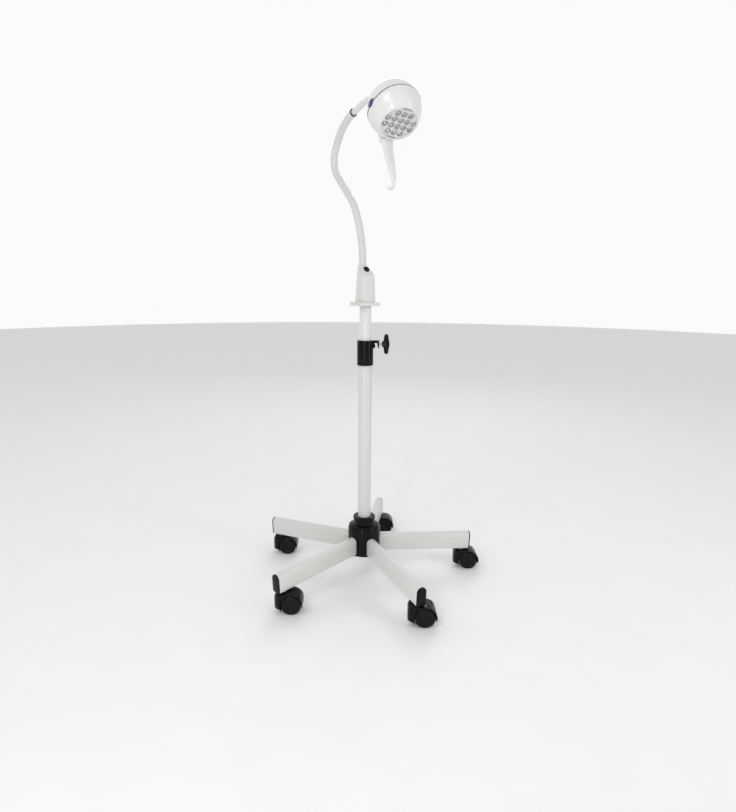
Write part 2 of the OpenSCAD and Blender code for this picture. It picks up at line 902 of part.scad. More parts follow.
// Side is -1 or 1 along the head's own X
module head_button(side) {
    color([0.35, 0.24, 0.45]) in_head() intersection() {
        oval_bar(side, 0, head_r - oval_depth, head_r + 4);
        sphere(head_r + oval_proud, $fn = 128);
    }
}

// Outline with two rounded outer corners, standing on y = 0
module round_front(w, d, corner) {
    translate([-w / 2 + corner, 0]) square([w - 2 * corner, d]);
    translate([-w / 2, 0]) square([w, d - corner]);
    for (side = [-1, 1]) translate([side * (w / 2 - corner), d - corner]) circle(corner);
}

// Block that carries the handle, low on the head's side
module socket_form() {
    translate([0, handle_y - socket_d + socket_out, handle_top_z])
        linear_extrude(socket_len) round_front(socket_w, socket_d, socket_corner);
}

module handle_socket() {
    color([0.94, 0.94, 0.93]) in_head() difference() {
        socket_form();
        translate([0, handle_y, handle_top_z - eps])
            cylinder(d = handle_pin_d + 2 * run_gap, h = handle_pin_len + pin_play + eps);
    }
}

module handle() {
    tip_y = handle_y + handle_len * sin(handle_lean);
    tip_z = handle_top_z - handle_len * cos(handle_lean);
    grip = [0, handle_y + grip_out, handle_top_z - grip_down];
    color([0.93, 0.93, 0.92]) in_head() {
        translate([0, handle_y, handle_top_z - pin_root])
            cylinder(d = handle_pin_d, h = handle_pin_len + pin_root);
        hull() {
            translate([0, handle_y, handle_top_z - handle_cap_t - free_gap])
                linear_extrude(handle_cap_t) square(handle_cap, center = true);
            translate(grip) sphere(grip_d / 2, $fn = 32);
        }
        hull() {
            translate(grip) sphere(grip_d / 2, $fn = 32);
            translate([0, tip_y, tip_z]) sphere(hook_d / 2 - hook_step, $fn = 32);
        }
        translate([0, tip_y + hook_r, tip_z]) rotate([90, 0, 90]) rotate([0, 0, 180])
            rotate_extrude(angle = hook_turn) translate([hook_r, 0]) circle(d = hook_d);
        translate([0, tip_y + hook_r - hook_r * cos(hook_turn), tip_z - hook_r * sin(hook_turn)])
            sphere(hook_d / 2 - hook_step);
    }
}

hub();
lower_tube();
leg(0);  // leg_1
leg(1);  // leg_2
leg(2);  // leg_3
leg(3);  // leg_4
leg(4);  // leg_5
leg_caps();
caster_stems();
leg_bolts();
clamp_collar();
clamp_nut();
caster_hood(0);  // caster_hood_1
caster_hood(1);  // caster_hood_2
caster_hood(2);  // caster_hood_3
caster_hood(3);  // caster_hood_4
caster_hood(4);  // caster_hood_5
caster_axle(0);  // caster_axle_1
caster_axle(1);  // caster_axle_2
caster_axle(2);  // caster_axle_3
caster_axle(3);  // caster_axle_4
caster_axle(4);  // caster_axle_5
wheel(0, 1);  // wheel_1_left
wheel(1, 1);  // wheel_2_left
wheel(2, 1);  // wheel_3_left
wheel(3, 1);  // wheel_4_left
wheel(4, 1);  // wheel_5_left
wheel(0, -1);  // wheel_1_right
wheel(1, -1);  // wheel_2_right
wheel(2, -1);  // wheel_3_right
wheel(3, -1);  // wheel_4_right
wheel(4, -1);  // wheel_5_right
clamp_pad();
clamp_stud();
clamp_knob();
upper_tube();
slide_plug();
arm_spigot();
base_flange();
base_housing();
driver_board();
cable_grommet();
power_button();
neck_link_1();
neck_link_2();
neck_link_3();
neck_link_4();
swivel_ring();
arm_tube();
front_shell();
rear_shell();
seam_band();
window_plate();
lens_plate();
led_board();
heat_sink();
head_button(-1);  // head_button_left
head_button(1);  // head_button_right
handle_socket();
handle();
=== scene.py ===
"""Looks of the mobile examination light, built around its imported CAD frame.

Lengths are in metres. MM turns a size in millimetres into metres.
"""

import json
import math

import bmesh
import bpy
from mathutils import Matrix, Vector


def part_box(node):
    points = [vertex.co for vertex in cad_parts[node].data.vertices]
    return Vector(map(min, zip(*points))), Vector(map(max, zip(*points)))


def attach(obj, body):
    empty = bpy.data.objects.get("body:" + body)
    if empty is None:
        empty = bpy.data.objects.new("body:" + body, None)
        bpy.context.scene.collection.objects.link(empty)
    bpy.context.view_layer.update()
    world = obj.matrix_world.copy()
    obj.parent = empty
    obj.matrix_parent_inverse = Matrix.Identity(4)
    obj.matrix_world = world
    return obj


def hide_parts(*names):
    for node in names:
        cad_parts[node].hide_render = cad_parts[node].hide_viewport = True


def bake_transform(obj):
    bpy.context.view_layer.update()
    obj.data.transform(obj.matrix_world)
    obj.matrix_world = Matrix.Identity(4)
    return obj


MM = 0.001

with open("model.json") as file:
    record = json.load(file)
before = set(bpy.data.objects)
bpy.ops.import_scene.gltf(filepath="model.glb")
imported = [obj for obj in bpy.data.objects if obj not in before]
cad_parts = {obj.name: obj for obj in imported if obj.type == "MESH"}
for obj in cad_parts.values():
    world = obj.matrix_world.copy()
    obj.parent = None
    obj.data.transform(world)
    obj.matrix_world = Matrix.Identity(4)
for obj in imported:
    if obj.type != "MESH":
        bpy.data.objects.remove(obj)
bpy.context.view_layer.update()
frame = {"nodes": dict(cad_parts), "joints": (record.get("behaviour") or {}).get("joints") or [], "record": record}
RECORD = frame["record"]
NODES = frame["nodes"]
JOINTS = {joint["name"]: joint for joint in frame["joints"]}
BODY_OF = {node: body for body, nodes in RECORD["behaviour"]["bodies"].items() for node in nodes}
SLOT_OF = {part["node"]: part["material_slot"] for part in RECORD["subparts"]}

# ---------- camera, floor and light ----------

CAMERA_AT = Vector((-0.7585, -1.3138, 0.814))
CAMERA_HEADING = math.radians(30.31)
CAMERA_PITCH = math.radians(12.5)
CAMERA_ROLL = math.radians(0.416)
CAMERA_LENS = 26.17


def make_camera():
    """Camera at the standing viewer's angle; heading turns from +Y towards +X."""
    ahead = Vector((
        math.sin(CAMERA_HEADING) * math.cos(CAMERA_PITCH),
        math.cos(CAMERA_HEADING) * math.cos(CAMERA_PITCH),
        -math.sin(CAMERA_PITCH),
    ))
    level = Vector((math.cos(CAMERA_HEADING), -math.sin(CAMERA_HEADING), 0))
    upright = level.cross(ahead)
    right = level * math.cos(CAMERA_ROLL) + upright * math.sin(CAMERA_ROLL)
    up = upright * math.cos(CAMERA_ROLL) - level * math.sin(CAMERA_ROLL)
    data = bpy.data.cameras.new("camera")
    data.lens = CAMERA_LENS
    data.clip_start = 0.01
    data.clip_end = 100
    camera = bpy.data.objects.new("camera", data)
    bpy.context.scene.collection.objects.link(camera)
    turn = Matrix((right, up, -ahead)).transposed().to_4x4()
    camera.matrix_world = Matrix.Translation(CAMERA_AT) @ turn
    bpy.context.scene.camera = camera


FLOOR_RADIUS = 9.0
LIGHTS = [
    # name, place, aimed at, width, height, power in watts
    ("key_light", (-2.6, -1.2, 2.8), (0, 0, 0.8), 1.5, 1.5, 24),
    ("left_strip", (-1.25, -1.35, 0.9), (0, 0, 0.75), 0.1, 1.7, 6.5),
    ("right_strip", (1.05, -1.85, 0.9), (0, 0, 0.7), 0.1, 1.7, 6.5),
    ("rim_light", (1.5, 1.9, 2.2), (0, 0, 0.9), 1.2, 1.2, 9),
]
WORLD_COLOUR = (0.985, 0.99, 1, 1)
WORLD_BEHIND = 0.97
WORLD_FRONT = 0.58


def make_floor():
    """Round pale floor at the casters' height."""
    bm = bmesh.new()
    bmesh.ops.create_circle(bm, cap_ends=True, segments=96, radius=FLOOR_RADIUS)
    mesh = bpy.data.meshes.new("floor")
    bm.to_mesh(mesh)
    bm.free()
    mesh.materials.append(surface("floor_pale", (0.93, 0.93, 0.925), 0.6, tone=0.008))
    floor = bpy.data.objects.new("floor", mesh)
    bpy.context.scene.collection.objects.link(floor)


def make_lights():
    """Four soft lamps and a sky that is brighter behind the object."""
    for name, place, target, width, height, power in LIGHTS:
        data = bpy.data.lights.new(name, "AREA")
        data.shape = "RECTANGLE"
        data.size = width
        data.size_y = height
        data.energy = power
        lamp = bpy.data.objects.new(name, data)
        lamp.location = place
        aim = Vector(target) - Vector(place)
        lamp.rotation_mode = "QUATERNION"
        lamp.rotation_quaternion = aim.to_track_quat("-Z", "Y")
        bpy.context.scene.collection.objects.link(lamp)
    world = bpy.data.worlds.new("studio")
    world.use_nodes = True
    tree = world.node_tree
    background = tree.nodes["Background"]
    background.inputs["Color"].default_value = WORLD_COLOUR
    coordinates = tree.nodes.new("ShaderNodeTexCoord")
    towards = tree.nodes.new("ShaderNodeVectorMath")
    towards.operation = "DOT_PRODUCT"
    towards.inputs[1].default_value = (
        math.sin(CAMERA_HEADING), math.cos(CAMERA_HEADING), 0,
    )
    tree.links.new(coordinates.outputs["Generated"], towards.inputs[0])
    strength = ranged(
        tree, towards.outputs["Value"], WORLD_FRONT, WORLD_BEHIND, start=0.0, end=0.75,
    )
    tree.links.new(strength, background.inputs["Strength"])
    bpy.context.scene.world = world
    bpy.context.scene.view_settings.view_transform = "Standard"


# ---------- materials ----------


def noise(tree, scale, detail, stretch=None):
    """Noise in the piece's own coordinates, with scale in waves per metre."""
    coordinates = tree.nodes.new("ShaderNodeTexCoord")
    source = coordinates.outputs["Object"]
    if stretch:
        mapping = tree.nodes.new("ShaderNodeMapping")
        mapping.inputs["Scale"].default_value = stretch
        tree.links.new(source, mapping.inputs["Vector"])
        source = mapping.outputs["Vector"]
    node = tree.nodes.new("ShaderNodeTexNoise")
    node.inputs["Scale"].default_value = scale
    node.inputs["Detail"].default_value = detail
    tree.links.new(source, node.inputs["Vector"])
    return node.outputs["Fac"]


def ranged(tree, value, low, high, start=0.3, end=0.7):
    """Maps a noise value from start..end to low..high."""
    node = tree.nodes.new("ShaderNodeMapRange")
    node.inputs["From Min"].default_value = start
    node.inputs["From Max"].default_value = end
    node.inputs["To Min"].default_value = low
    node.inputs["To Max"].default_value = high
    tree.links.new(value, node.inputs["Value"])
    return node.outputs["Result"]


def mixed(tree, factor, first, second):
    """Colour that goes from first to second as factor goes from 0 to 1."""
    node = tree.nodes.new("ShaderNodeMix")
    node.data_type = "RGBA"
    for socket, colour in (("A", first), ("B", second)):
        target = next(s for s in node.inputs if s.name == socket and s.type == "RGBA")
        if isinstance(colour, bpy.types.NodeSocket):
            tree.links.new(colour, target)
        else:
            target.default_value = (*colour, 1)
    tree.links.new(factor, node.inputs["Factor"])
    return next(s for s in node.outputs if s.type == "RGBA")


def surface(
    name, colour, roughness, metallic=0.0, tone=0.03, tone_scale=9, rough_spread=0.05,
    rough_scale=60, grain=0.0, grain_scale=1400, grain_stretch=None, dust=0.0,
    dust_colour=(0.45, 0.44, 0.42), coat=0.0, coat_roughness=0.08, ior=1.47, see_through=0.0,
    shine=0.5,
):
    """Principled material: drifting tone, uneven gloss, fine relief and a little dust.

    grain is the relief's height in metres; dust is the most that the dust covers.
    """
    made = bpy.data.materials.new(name)
    made.use_nodes = True
    tree = made.node_tree
    shader = tree.nodes["Principled BSDF"]
    shader.inputs["Metallic"].default_value = metallic
    shader.inputs["IOR"].default_value = ior
    shader.inputs["Specular IOR Level"].default_value = shine
    shader.inputs["Coat Weight"].default_value = coat
    shader.inputs["Coat Roughness"].default_value = coat_roughness
    shader.inputs["Transmission Weight"].default_value = see_through
    darker = tuple(channel * (1 - tone) for channel in colour)
    lighter = tuple(min(channel * (1 + tone), 1) for channel in colour)
    paint = mixed(tree, ranged(tree, noise(tree, tone_scale, 3), 0, 1), darker, lighter)
    if dust:
        specks = ranged(tree, noise(tree, tone_scale * 11, 6), 0, dust, 0.52, 0.78)
        paint = mixed(tree, specks, paint, dust_colour)
    tree.links.new(paint, shader.inputs["Base Color"])
    gloss = ranged(
        tree, noise(tree, rough_scale, 5), max(roughness - rough_spread, 0.02),
        min(roughness + rough_spread, 1),
    )
    tree.links.new(gloss, shader.inputs["Roughness"])
    if grain:
        bump = tree.nodes.new("ShaderNodeBump")
        bump.inputs["Strength"].default_value = 1
        bump.inputs["Distance"].default_value = grain
        tree.links.new(noise(tree, grain_scale, 2, grain_stretch), bump.inputs["Height"])
        tree.links.new(bump.outputs["Normal"], shader.inputs["Normal"])
    return made


def make_materials():
    """One material for each material slot of the record."""
    return {
        "leg_paint": surface(
            "leg_paint", (0.69, 0.685, 0.665), 0.34, tone=0.02, grain=0.000006,
            grain_scale=900, dust=0.05,
        ),
        "gloss_paint": surface(
            "gloss_paint", (0.74, 0.74, 0.725), 0.18, tone=0.012, grain=0.000001,
            grain_scale=300, coat=0.3,
        ),
        "neck_paint": surface(
            "neck_paint", (0.68, 0.68, 0.67), 0.4, tone=0.02, grain=0.000001,
            grain_scale=300,
        ),
        "black_gloss": surface(
            "black_gloss", (0.005, 0.005, 0.0055), 0.11, tone=0.12, rough_spread=0.03,
            grain=0.000004, grain_scale=400, dust=0.008, shine=0.15,
        ),
        "wheel_black": surface(
            "wheel_black", (0.007, 0.007, 0.0075), 0.26, tone=0.12, grain=0.000008,
            grain_scale=700, dust=0.02, shine=0.15,
        ),
        "dark_nylon": surface("dark_nylon", (0.05, 0.05, 0.052), 0.5, grain=0.00002),
        "black_rubber": surface(
            "black_rubber", (0.015, 0.015, 0.015), 0.62, grain=0.00003, dust=0.06,
        ),
        "head_white": surface(
            "head_white", (0.79, 0.79, 0.775), 0.22, tone=0.01, grain=0.000001,
            grain_scale=300, coat=0.35,
        ),
        "window_silver": surface(
            "window_silver", (0.66, 0.665, 0.655), 0.3, metallic=0.2, tone=0.03,
            grain=0.000006,
        ),
        "lens_clear": surface(
            "lens_clear", (0.93, 0.94, 0.94), 0.06, tone=0.005, rough_spread=0.02,
            ior=1.3, see_through=0.92,
        ),
        "board_green": surface("board_green", (0.02, 0.17, 0.07), 0.35, tone=0.1),
        "board_white": surface("board_white", (0.7, 0.7, 0.66), 0.4, tone=0.05),
        "sink_aluminium": surface(
            "sink_aluminium", (0.62, 0.63, 0.65), 0.34, metallic=1, grain=0.00001,
            grain_scale=700, grain_stretch=(1, 1, 14),
        ),
        "zinc_steel": surface(
            "zinc_steel", (0.6, 0.6, 0.61), 0.28, metallic=1, tone=0.06, grain=0.000006,
        ),
        "bright_chrome": surface(
            "bright_chrome", (0.84, 0.85, 0.86), 0.1, metallic=1, tone=0.02,
            rough_spread=0.03,
        ),
        "pad_brass": surface("pad_brass", (0.72, 0.52, 0.22), 0.3, metallic=1, tone=0.06),
        "seam_grey": surface("seam_grey", (0.045, 0.042, 0.045), 0.6, grain=0.00001),
        "button_violet": surface(
            "button_violet", (0.075, 0.035, 0.15), 0.3, tone=0.05, grain=0.00001, coat=0.2,
        ),
    }


# ---------- mesh helpers ----------


def box_middle(node):
    low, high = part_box(node)
    return (low + high) / 2


def frame_at(origin, z_axis, x_axis):
    """Matrix whose Z axis is z_axis and whose X axis is as near to x_axis as it can be."""
    z = Vector(z_axis).normalized()
    y = z.cross(Vector(x_axis)).normalized()
    x = y.cross(z)
    return Matrix.Translation(origin) @ Matrix((x, y, z)).transposed().to_4x4()


def finished(bm, name, body, slot, stands_for=(), sharp=35):
    """Makes a piece from bm."""
    bmesh.ops.recalc_face_normals(bm, faces=bm.faces)
    mesh = bpy.data.meshes.new(name)
    bm.to_mesh(mesh)
    bm.free()
    mesh.polygons.foreach_set("use_smooth", [True] * len(mesh.polygons))
    mesh.set_sharp_from_angle(angle=math.radians(sharp))
    mesh.materials.append(MATERIALS[slot])
    piece = bpy.data.objects.new(name, mesh)
    bpy.context.scene.collection.objects.link(piece)
    if stands_for:
        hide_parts(*stands_for)
    if body:
        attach(piece, body)
    return piece


def round_edges(bm, width, segments, sharp=32):
    """Rounds every edge that turns by more than sharp degrees."""
    edges = [
        edge for edge in bm.edges
        if len(edge.link_faces) == 2 and edge.calc_face_angle(0) > math.radians(sharp)
    ]
    bmesh.ops.bevel(
        bm, geom=edges, offset=width, offset_type="OFFSET", segments=segments,
        profile=0.5, affect="EDGES", clamp_overlap=True,
    )


def rounded(node, width, segments=3, sharp=32):
    """Piece that stands for a CAD node: the same form with its sharp edges rounded."""
    bm = bmesh.new()
    bm.from_mesh(NODES[node].data)
    bmesh.ops.remove_doubles(bm, verts=bm.verts, dist=2e-6)
    bmesh.ops.dissolve_limit(
        bm, angle_limit=math.radians(0.5), verts=bm.verts, edges=bm.edges,
    )
    round_edges(bm, width, segments, sharp)
    return finished(bm, f"{node}_rounded", BODY_OF[node], SLOT_OF[node], [node])


def turned(bm, profile, steps=72):
    """Adds a closed body of revolution about Z. profile lists (radius, z), from axis to axis."""
    rings = []
    for radius, z in profile:
        if radius == 0:
            rings.append([bm.verts.new((0, 0, z))])
            continue
        rings.append([
            bm.verts.new((
                radius * math.cos(2 * math.pi * k / steps),
                radius * math.sin(2 * math.pi * k / steps), z,
            ))
            for k in range(steps)
        ])
    join_rings(bm, rings)
    return [vert for ring in rings for vert in ring]


def join_rings(bm, rings, around=False):
    """Faces between neighbouring rings; a ring of one vertex is a pole."""
    pairs = list(zip(rings, rings[1:]))
    if around:
        pairs.append((rings[-1], rings[0]))
    for low, high in pairs:
        count = max(len(low), len(high))
        for k in range(count):
            after = (k + 1) % count
            corners = [low[k % len(low)], low[after % len(low)]]
            corners += [high[after % len(high)], high[k % len(high)]]
            unique = list(dict.fromkeys(corners))
            if len(unique) > 2:
                bm.faces.new(unique)


def boolean(piece, cutter_bm):
    """Cuts a closed form out of a piece's mesh."""
    bmesh.ops.recalc_face_normals(cutter_bm, faces=cutter_bm.faces)
    mesh = bpy.data.meshes.new("cutter")
    cutter_bm.to_mesh(mesh)
    cutter_bm.free()
    cutter = bpy.data.objects.new("cutter", mesh)
    bpy.context.scene.collection.objects.link(cutter)
    step = piece.modifiers.new("cut", "BOOLEAN")
    step.operation = "DIFFERENCE"
    step.solver = "EXACT"
    step.object = cutter
    bpy.context.view_layer.update()
    graph = bpy.context.evaluated_depsgraph_get()
    cut = bpy.data.meshes.new_from_object(piece.evaluated_get(graph))
    piece.modifiers.clear()
    piece.data = cut
    cut.polygons.foreach_set("use_smooth", [True] * len(cut.polygons))
    cut.set_sharp_from_angle(angle=math.radians(35))
    bpy.data.objects.remove(cutter)


# ---------- base, mast and clamp ----------

ROUNDING = {
    # node name or its start: (width of the rounding in mm, segments)
    "hub": (0.9, 3), "leg_caps": (0.9, 3), "leg_bolts": (0.5, 2), "leg_": (0.5, 2),
    "caster_hood_": (1.3, 4), "caster_axle_": (0.5, 2), "caster_stems": (0.6, 2),
    "wheel_": (0.6, 2), "lower_tube": (0.4, 2), "upper_tube": (0.4, 2),
    "clamp_collar": (0.9, 3), "clamp_nut": (0.4, 2), "clamp_pad": (0.2, 2),
    "clamp_stud": (0.4, 2), "base_flange": (1.4, 3), "arm_spigot": (0.5, 2),
    "slide_plug": (0.5, 2), "cable_grommet": (0.7, 3), "swivel_ring": (1.3, 4),
    "arm_tube": (0.5, 2), "handle_socket": (1.6, 3),
    "driver_board": (0.2, 1), "heat_sink": (0.3, 1), "led_board": (0.15, 1),
}


def rounding_of(node):
    """The longest entry of ROUNDING that the node's name starts with."""
    starts = [start for start in ROUNDING if node.startswith(start)]
    return ROUNDING[max(starts, key=len)] if starts else None


KNOB_VOXEL = 0.7 * MM


def remeshed(node, voxel, smoothing):
    """Piece that stands for a CAD node, its facets melted into one moulded form."""
    bm = bmesh.new()
    bm.from_mesh(NODES[node].data)
    bmesh.ops.remove_doubles(bm, verts=bm.verts, dist=2e-6)
    piece = finished(bm, f"{node}_moulded", BODY_OF[node], SLOT_OF[node], [node])
    step = piece.modifiers.new("melt", "REMESH")
    step.mode = "VOXEL"
    step.voxel_size = voxel
    step.use_smooth_shade = True
    relax = piece.modifiers.new("relax", "SMOOTH")
    relax.factor = 0.5
    relax.iterations = smoothing
    bpy.context.view_layer.update()
    graph = bpy.context.evaluated_depsgraph_get()
    melted = bpy.data.meshes.new_from_object(piece.evaluated_get(graph))
    piece.modifiers.clear()
    piece.data = melted
    melted.polygons.foreach_set("use_smooth", [True] * len(melted.polygons))
    return piece


# ---------- arm base ----------

HOUSING_LOW, HOUSING_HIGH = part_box("base_housing")
HOUSING_CORNERS = [
    # x, y, radius of the vertical corners at the foot, in mm
    (11.5, -10.5, 9), (7.5, 13, 13),
]
ROOF_CORNER = (13.4, -8.8, 27, 6)
CROWN_Y = 14.5
CROWN_LOW_R = 13
CROWN_HIGH_R = 11.2
HOUSING_FOOT_H = 3 * MM
BUTTON_WELL_R = 7.9 * MM
INLET_WELL_R = 5.1 * MM


def foot_points(side, turns):
    """Points round the upright corners at the foot of the case, on one side."""
    return [
        ((side * x + radius * math.cos(a)) * MM, (y + radius * math.sin(a)) * MM, level)
        for x, y, radius in HOUSING_CORNERS
        for level in (HOUSING_LOW.z, HOUSING_LOW.z + HOUSING_FOOT_H)
        for a in turns
    ]


def roof_points(side, turns):
    """Points on the ball that rounds the front roof corner, on one side."""
    x, y, drop, radius = ROOF_CORNER
    return [
        (
            (side * x + radius * math.sin(tilt) * math.cos(a)) * MM,
            (y + radius * math.sin(tilt) * math.sin(a)) * MM,
            HOUSING_HIGH.z + (radius * math.cos(tilt) - drop) * MM,
        )
        for tilt in [math.pi * k / 24 for k in range(1, 24)]
        for a in turns[::2]
    ]


def crown_points(turns):
    """Points round the crown that the gooseneck comes out of."""
    rings = ((CROWN_LOW_R, 2), (CROWN_HIGH_R, 0.4), (CROWN_HIGH_R - 1, 0))
    return [
        (
            radius * math.cos(a) * MM, (CROWN_Y + radius * math.sin(a)) * MM,
            HOUSING_HIGH.z - drop * MM,
        )
        for a in turns
        for radius, drop in rings
    ]


def cut_well(piece, centre, outward, radius, inside, outside):
    """Cuts a round well along outward, from inside to outside of its centre."""
    well = bmesh.new()
    turned(well, [(0, -inside), (radius, -inside), (radius, outside), (0, outside)])
    well.transform(frame_at(centre, outward, (1, 0, 0)))
    boolean(piece, well)


def make_housing():
    """Tapering cast case of the arm base: the hull of its foot, roof corners and crown."""
    bm = bmesh.new()
    turns = [2 * math.pi * k / 96 for k in range(96)]
    points = []
    for side in (-1, 1):
        points += foot_points(side, turns) + roof_points(side, turns)
    for point in points + crown_points(turns):
        bm.verts.new(point)
    hull = bmesh.ops.convex_hull(bm, input=bm.verts)
    unused = [item for item in hull["geom_interior"] if isinstance(item, bmesh.types.BMVert)]
    bmesh.ops.delete(bm, geom=unused, context="VERTS")
    bmesh.ops.dissolve_limit(
        bm, angle_limit=math.radians(0.4), verts=bm.verts, edges=bm.edges,
    )
    housing = finished(bm, "housing_case", "arm_base", "leg_paint", ["base_housing"])
    outward = -Vector(JOINTS["power_button_press"]["axis"])
    cut_well(housing, box_middle("power_button"), outward, BUTTON_WELL_R, 5 * MM, 12 * MM)
    cut_well(housing, box_middle("cable_grommet"), (0, 1, 0), INLET_WELL_R, 9 * MM, 9 * MM)


def make_power_button():
    """Round push button with a dished face and a rolled edge."""
    bm = bmesh.new()
    turned(bm, [
        (0, -2.5 * MM), (7.3 * MM, -2.5 * MM), (7.5 * MM, -2.3 * MM), (7.5 * MM, 1.6 * MM),
        (7.35 * MM, 2.1 * MM), (6.95 * MM, 2.42 * MM), (6.4 * MM, 2.5 * MM),
        (5.6 * MM, 2.3 * MM), (4 * MM, 1.95 * MM), (2 * MM, 1.75 * MM), (0, 1.7 * MM),
    ])
    inward = Vector(JOINTS["power_button_press"]["axis"])
    bm.transform(frame_at(box_middle("power_button"), -inward, (1, 0, 0)))
    finished(bm, "power_button_cap", "power_button", "black_gloss", ["power_button"])


# ---------- gooseneck ----------

NECK_R = 9.25 * MM
NECK_TAIL = 34 * MM
RING_STEP = 2.5 * MM
# Stretches of the gooseneck from its foot up: (length or radius in mm, turn in degrees)
NECK_STRETCHES = [(260, 17), (260, 16), (100, 15.5), (53, 0), (53, 0), (48, -77), (148, -49.3)]
# Sleeves from the foot up: (name, bodies, joint, nodes, last place in NECK_STRETCHES,
# half length of the bending zone)
NECK_SLEEVES = [
    ("neck_sleeve_low", ("arm_base", "neck_lower"), "neck_bend_lower",
     ["neck_link_1", "neck_link_2"], 2.1, 60 * MM),
    ("neck_sleeve_mid", ("neck_lower", "neck_middle"), "neck_bend_middle",
     ["neck_link_3"], 5.1, 50 * MM),
    ("neck_sleeve_high", ("neck_middle", "neck_upper"), "neck_bend_upper",
     ["neck_link_4"], 7, 42 * MM),
]


def along(pose, size, turn):
    """Pose (y, z, lean) at the end of a stretch; lean is from upright towards +Y."""
    y, z, lean = pose
    if turn == 0:
        return (y + size * math.sin(lean), z + size * math.cos(lean), lean)
    way = math.copysign(size, turn)
    after = lean + turn
    return (
        y + way * (math.cos(lean) - math.cos(after)),
        z + way * (math.sin(after) - math.sin(lean)), after,
    )


def neck_line():
    """Poses along the gooseneck's centre line, each with its place in NECK_STRETCHES."""
    start = neck_foot(Vector(JOINTS["neck_bend_lower"]["pos_m"]))
    poses = [((start[0], start[1] - NECK_TAIL, 0), -1.0)]
    pose = start
    for index, (size, turn) in enumerate(NECK_STRETCHES):
        angle = math.radians(turn)
        length = size * MM * (abs(angle) if turn else 1)
        steps = max(2, round(length / RING_STEP))
        for k in range(steps):
            share = k / steps
            part = angle * share if turn else 0
            step_size = size * MM if turn else size * MM * share
            here = along(pose, step_size, part) if k else pose
            poses.append((here, index + share))
        pose = along(pose, size * MM, angle)
    poses.append((pose, float(len(NECK_STRETCHES))))
    return poses


def neck_foot(bend_low):
    """The gooseneck's foot, one stretch below its lowest joint."""
    size, turn = NECK_STRETCHES[0]
    angle = math.radians(turn)
    return (
        bend_low.y - size * MM * (1 - math.cos(angle)),
        bend_low.z - size * MM * math.sin(angle), 0.0,
    )


def sleeve(poses, name, nodes, steps=48):
    """Smooth skin over the stretch of the gooseneck round one joint; it is tied to no body, so it stays as built.
    """
    bm = bmesh.new()
    rings = []
    for y, z, lean in poses:
        side = Vector((0, math.cos(lean), -math.sin(lean)))
        rings.append([
            bm.verts.new(
                Vector((0, y, z)) + side * (NECK_R * math.cos(2 * math.pi * k / steps))
                + Vector((NECK_R * math.sin(2 * math.pi * k / steps), 0, 0))
            )
            for k in range(steps)
        ])
    join_rings(bm, rings)
    bm.faces.new(rings[0])
    bm.faces.new(rings[-1])
    piece = finished(bm, name, None, "neck_paint", nodes, sharp=60)
    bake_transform(piece)


def make_gooseneck():
    """Three sleeves, end to end, that share their end sections."""
    line = neck_line()
    first = 0
    for name, bodies, joint, nodes, end_place, zone in NECK_SLEEVES:
        last = max(k for k, (pose, place) in enumerate(line) if place <= end_place)
        poses = [pose for pose, place in line[first:last + 1]]
        sleeve(poses, name, nodes)
        first = last


# ---------- head ----------

LIGHT_AXIS = Vector(JOINTS["handle_pull"]["axis"])
HEAD_X = Vector(JOINTS["head_button_left_press"]["axis"])
PLATE_MIDDLE = -47.25 * MM
HEAD = frame_at(box_middle("window_plate") + LIGHT_AXIS * PLATE_MIDDLE, -LIGHT_AXIS, HEAD_X)
HEAD_R = 61.5 * MM
DOME_Z = -8 * MM
FRONT_R = 74 * MM
FRONT_Z = -49.5 * MM
PLATE_R = 40 * MM
SHELL_T = 2.5 * MM
SEAM_Z = -5 * MM
SEAM_DIP = 6 * MM
SEAM_HALF = 1.0 * MM
SEAM_STEPS = 144
OVAL_Z = -8 * MM
OVAL_LEN = 22 * MM
OVAL_W = 14 * MM
OVAL_GAP = 0.3 * MM
BUTTON_PROUD = 0.9 * MM
BUTTON_CENTRE_Z = -4 * MM
BUTTON_BASE_X = 54.6 * MM
OVAL_CUT = (50 * MM, 66 * MM)
LIP_H = 2.2 * MM
DOME_STEPS = 40
FRONT_STEPS = 30


def seam_height(turn):
    """The joint line of the shells: it dips towards the light at the two side buttons."""
    return SEAM_Z - SEAM_DIP * abs(math.cos(turn)) ** 3


def front_radius(z):
    """Outer radius of the front shell at a height on the head's axis."""
    return HEAD_R - FRONT_R + math.sqrt(FRONT_R ** 2 - z ** 2)


def dome_radius(z):
    """Outer radius of the rear shell at a height on the head's axis."""
    return math.sqrt(HEAD_R ** 2 - (z - DOME_Z) ** 2)


def ring_of(bm, points):
    """Ring of vertices in the head's frame from (radius, z) for each turn about its axis."""
    ring = []
    for k in range(SEAM_STEPS):
        turn = 2 * math.pi * k / SEAM_STEPS
        radius, z = points(turn)
        ring.append(bm.verts.new((radius * math.cos(turn), radius * math.sin(turn), z)))
    return ring


def make_rear_dome():
    """Hollow rear shell, cut off along the seam."""
    bm = bmesh.new()

    def dome(radius, share):
        def point(turn):
            low = math.acos((seam_height(turn) + SEAM_HALF - DOME_Z) / radius)
            tilt = low * share
            return radius * math.sin(tilt), DOME_Z + radius * math.cos(tilt)
        return point

    rings = [[bm.verts.new((0, 0, DOME_Z + HEAD_R))]]
    for k in range(1, DOME_STEPS + 1):
        rings.append(ring_of(bm, dome(HEAD_R, k / DOME_STEPS)))
    for k in range(DOME_STEPS, 0, -1):
        rings.append(ring_of(bm, dome(HEAD_R - SHELL_T, k / DOME_STEPS)))
    rings.append([bm.verts.new((0, 0, DOME_Z + HEAD_R - SHELL_T))])
    join_rings(bm, rings)
    round_edges(bm, 0.35 * MM, 2)
    bm.transform(HEAD)
    piece = finished(bm, "rear_dome", "head", "head_white", ["rear_shell"])
    cut_ovals(piece)


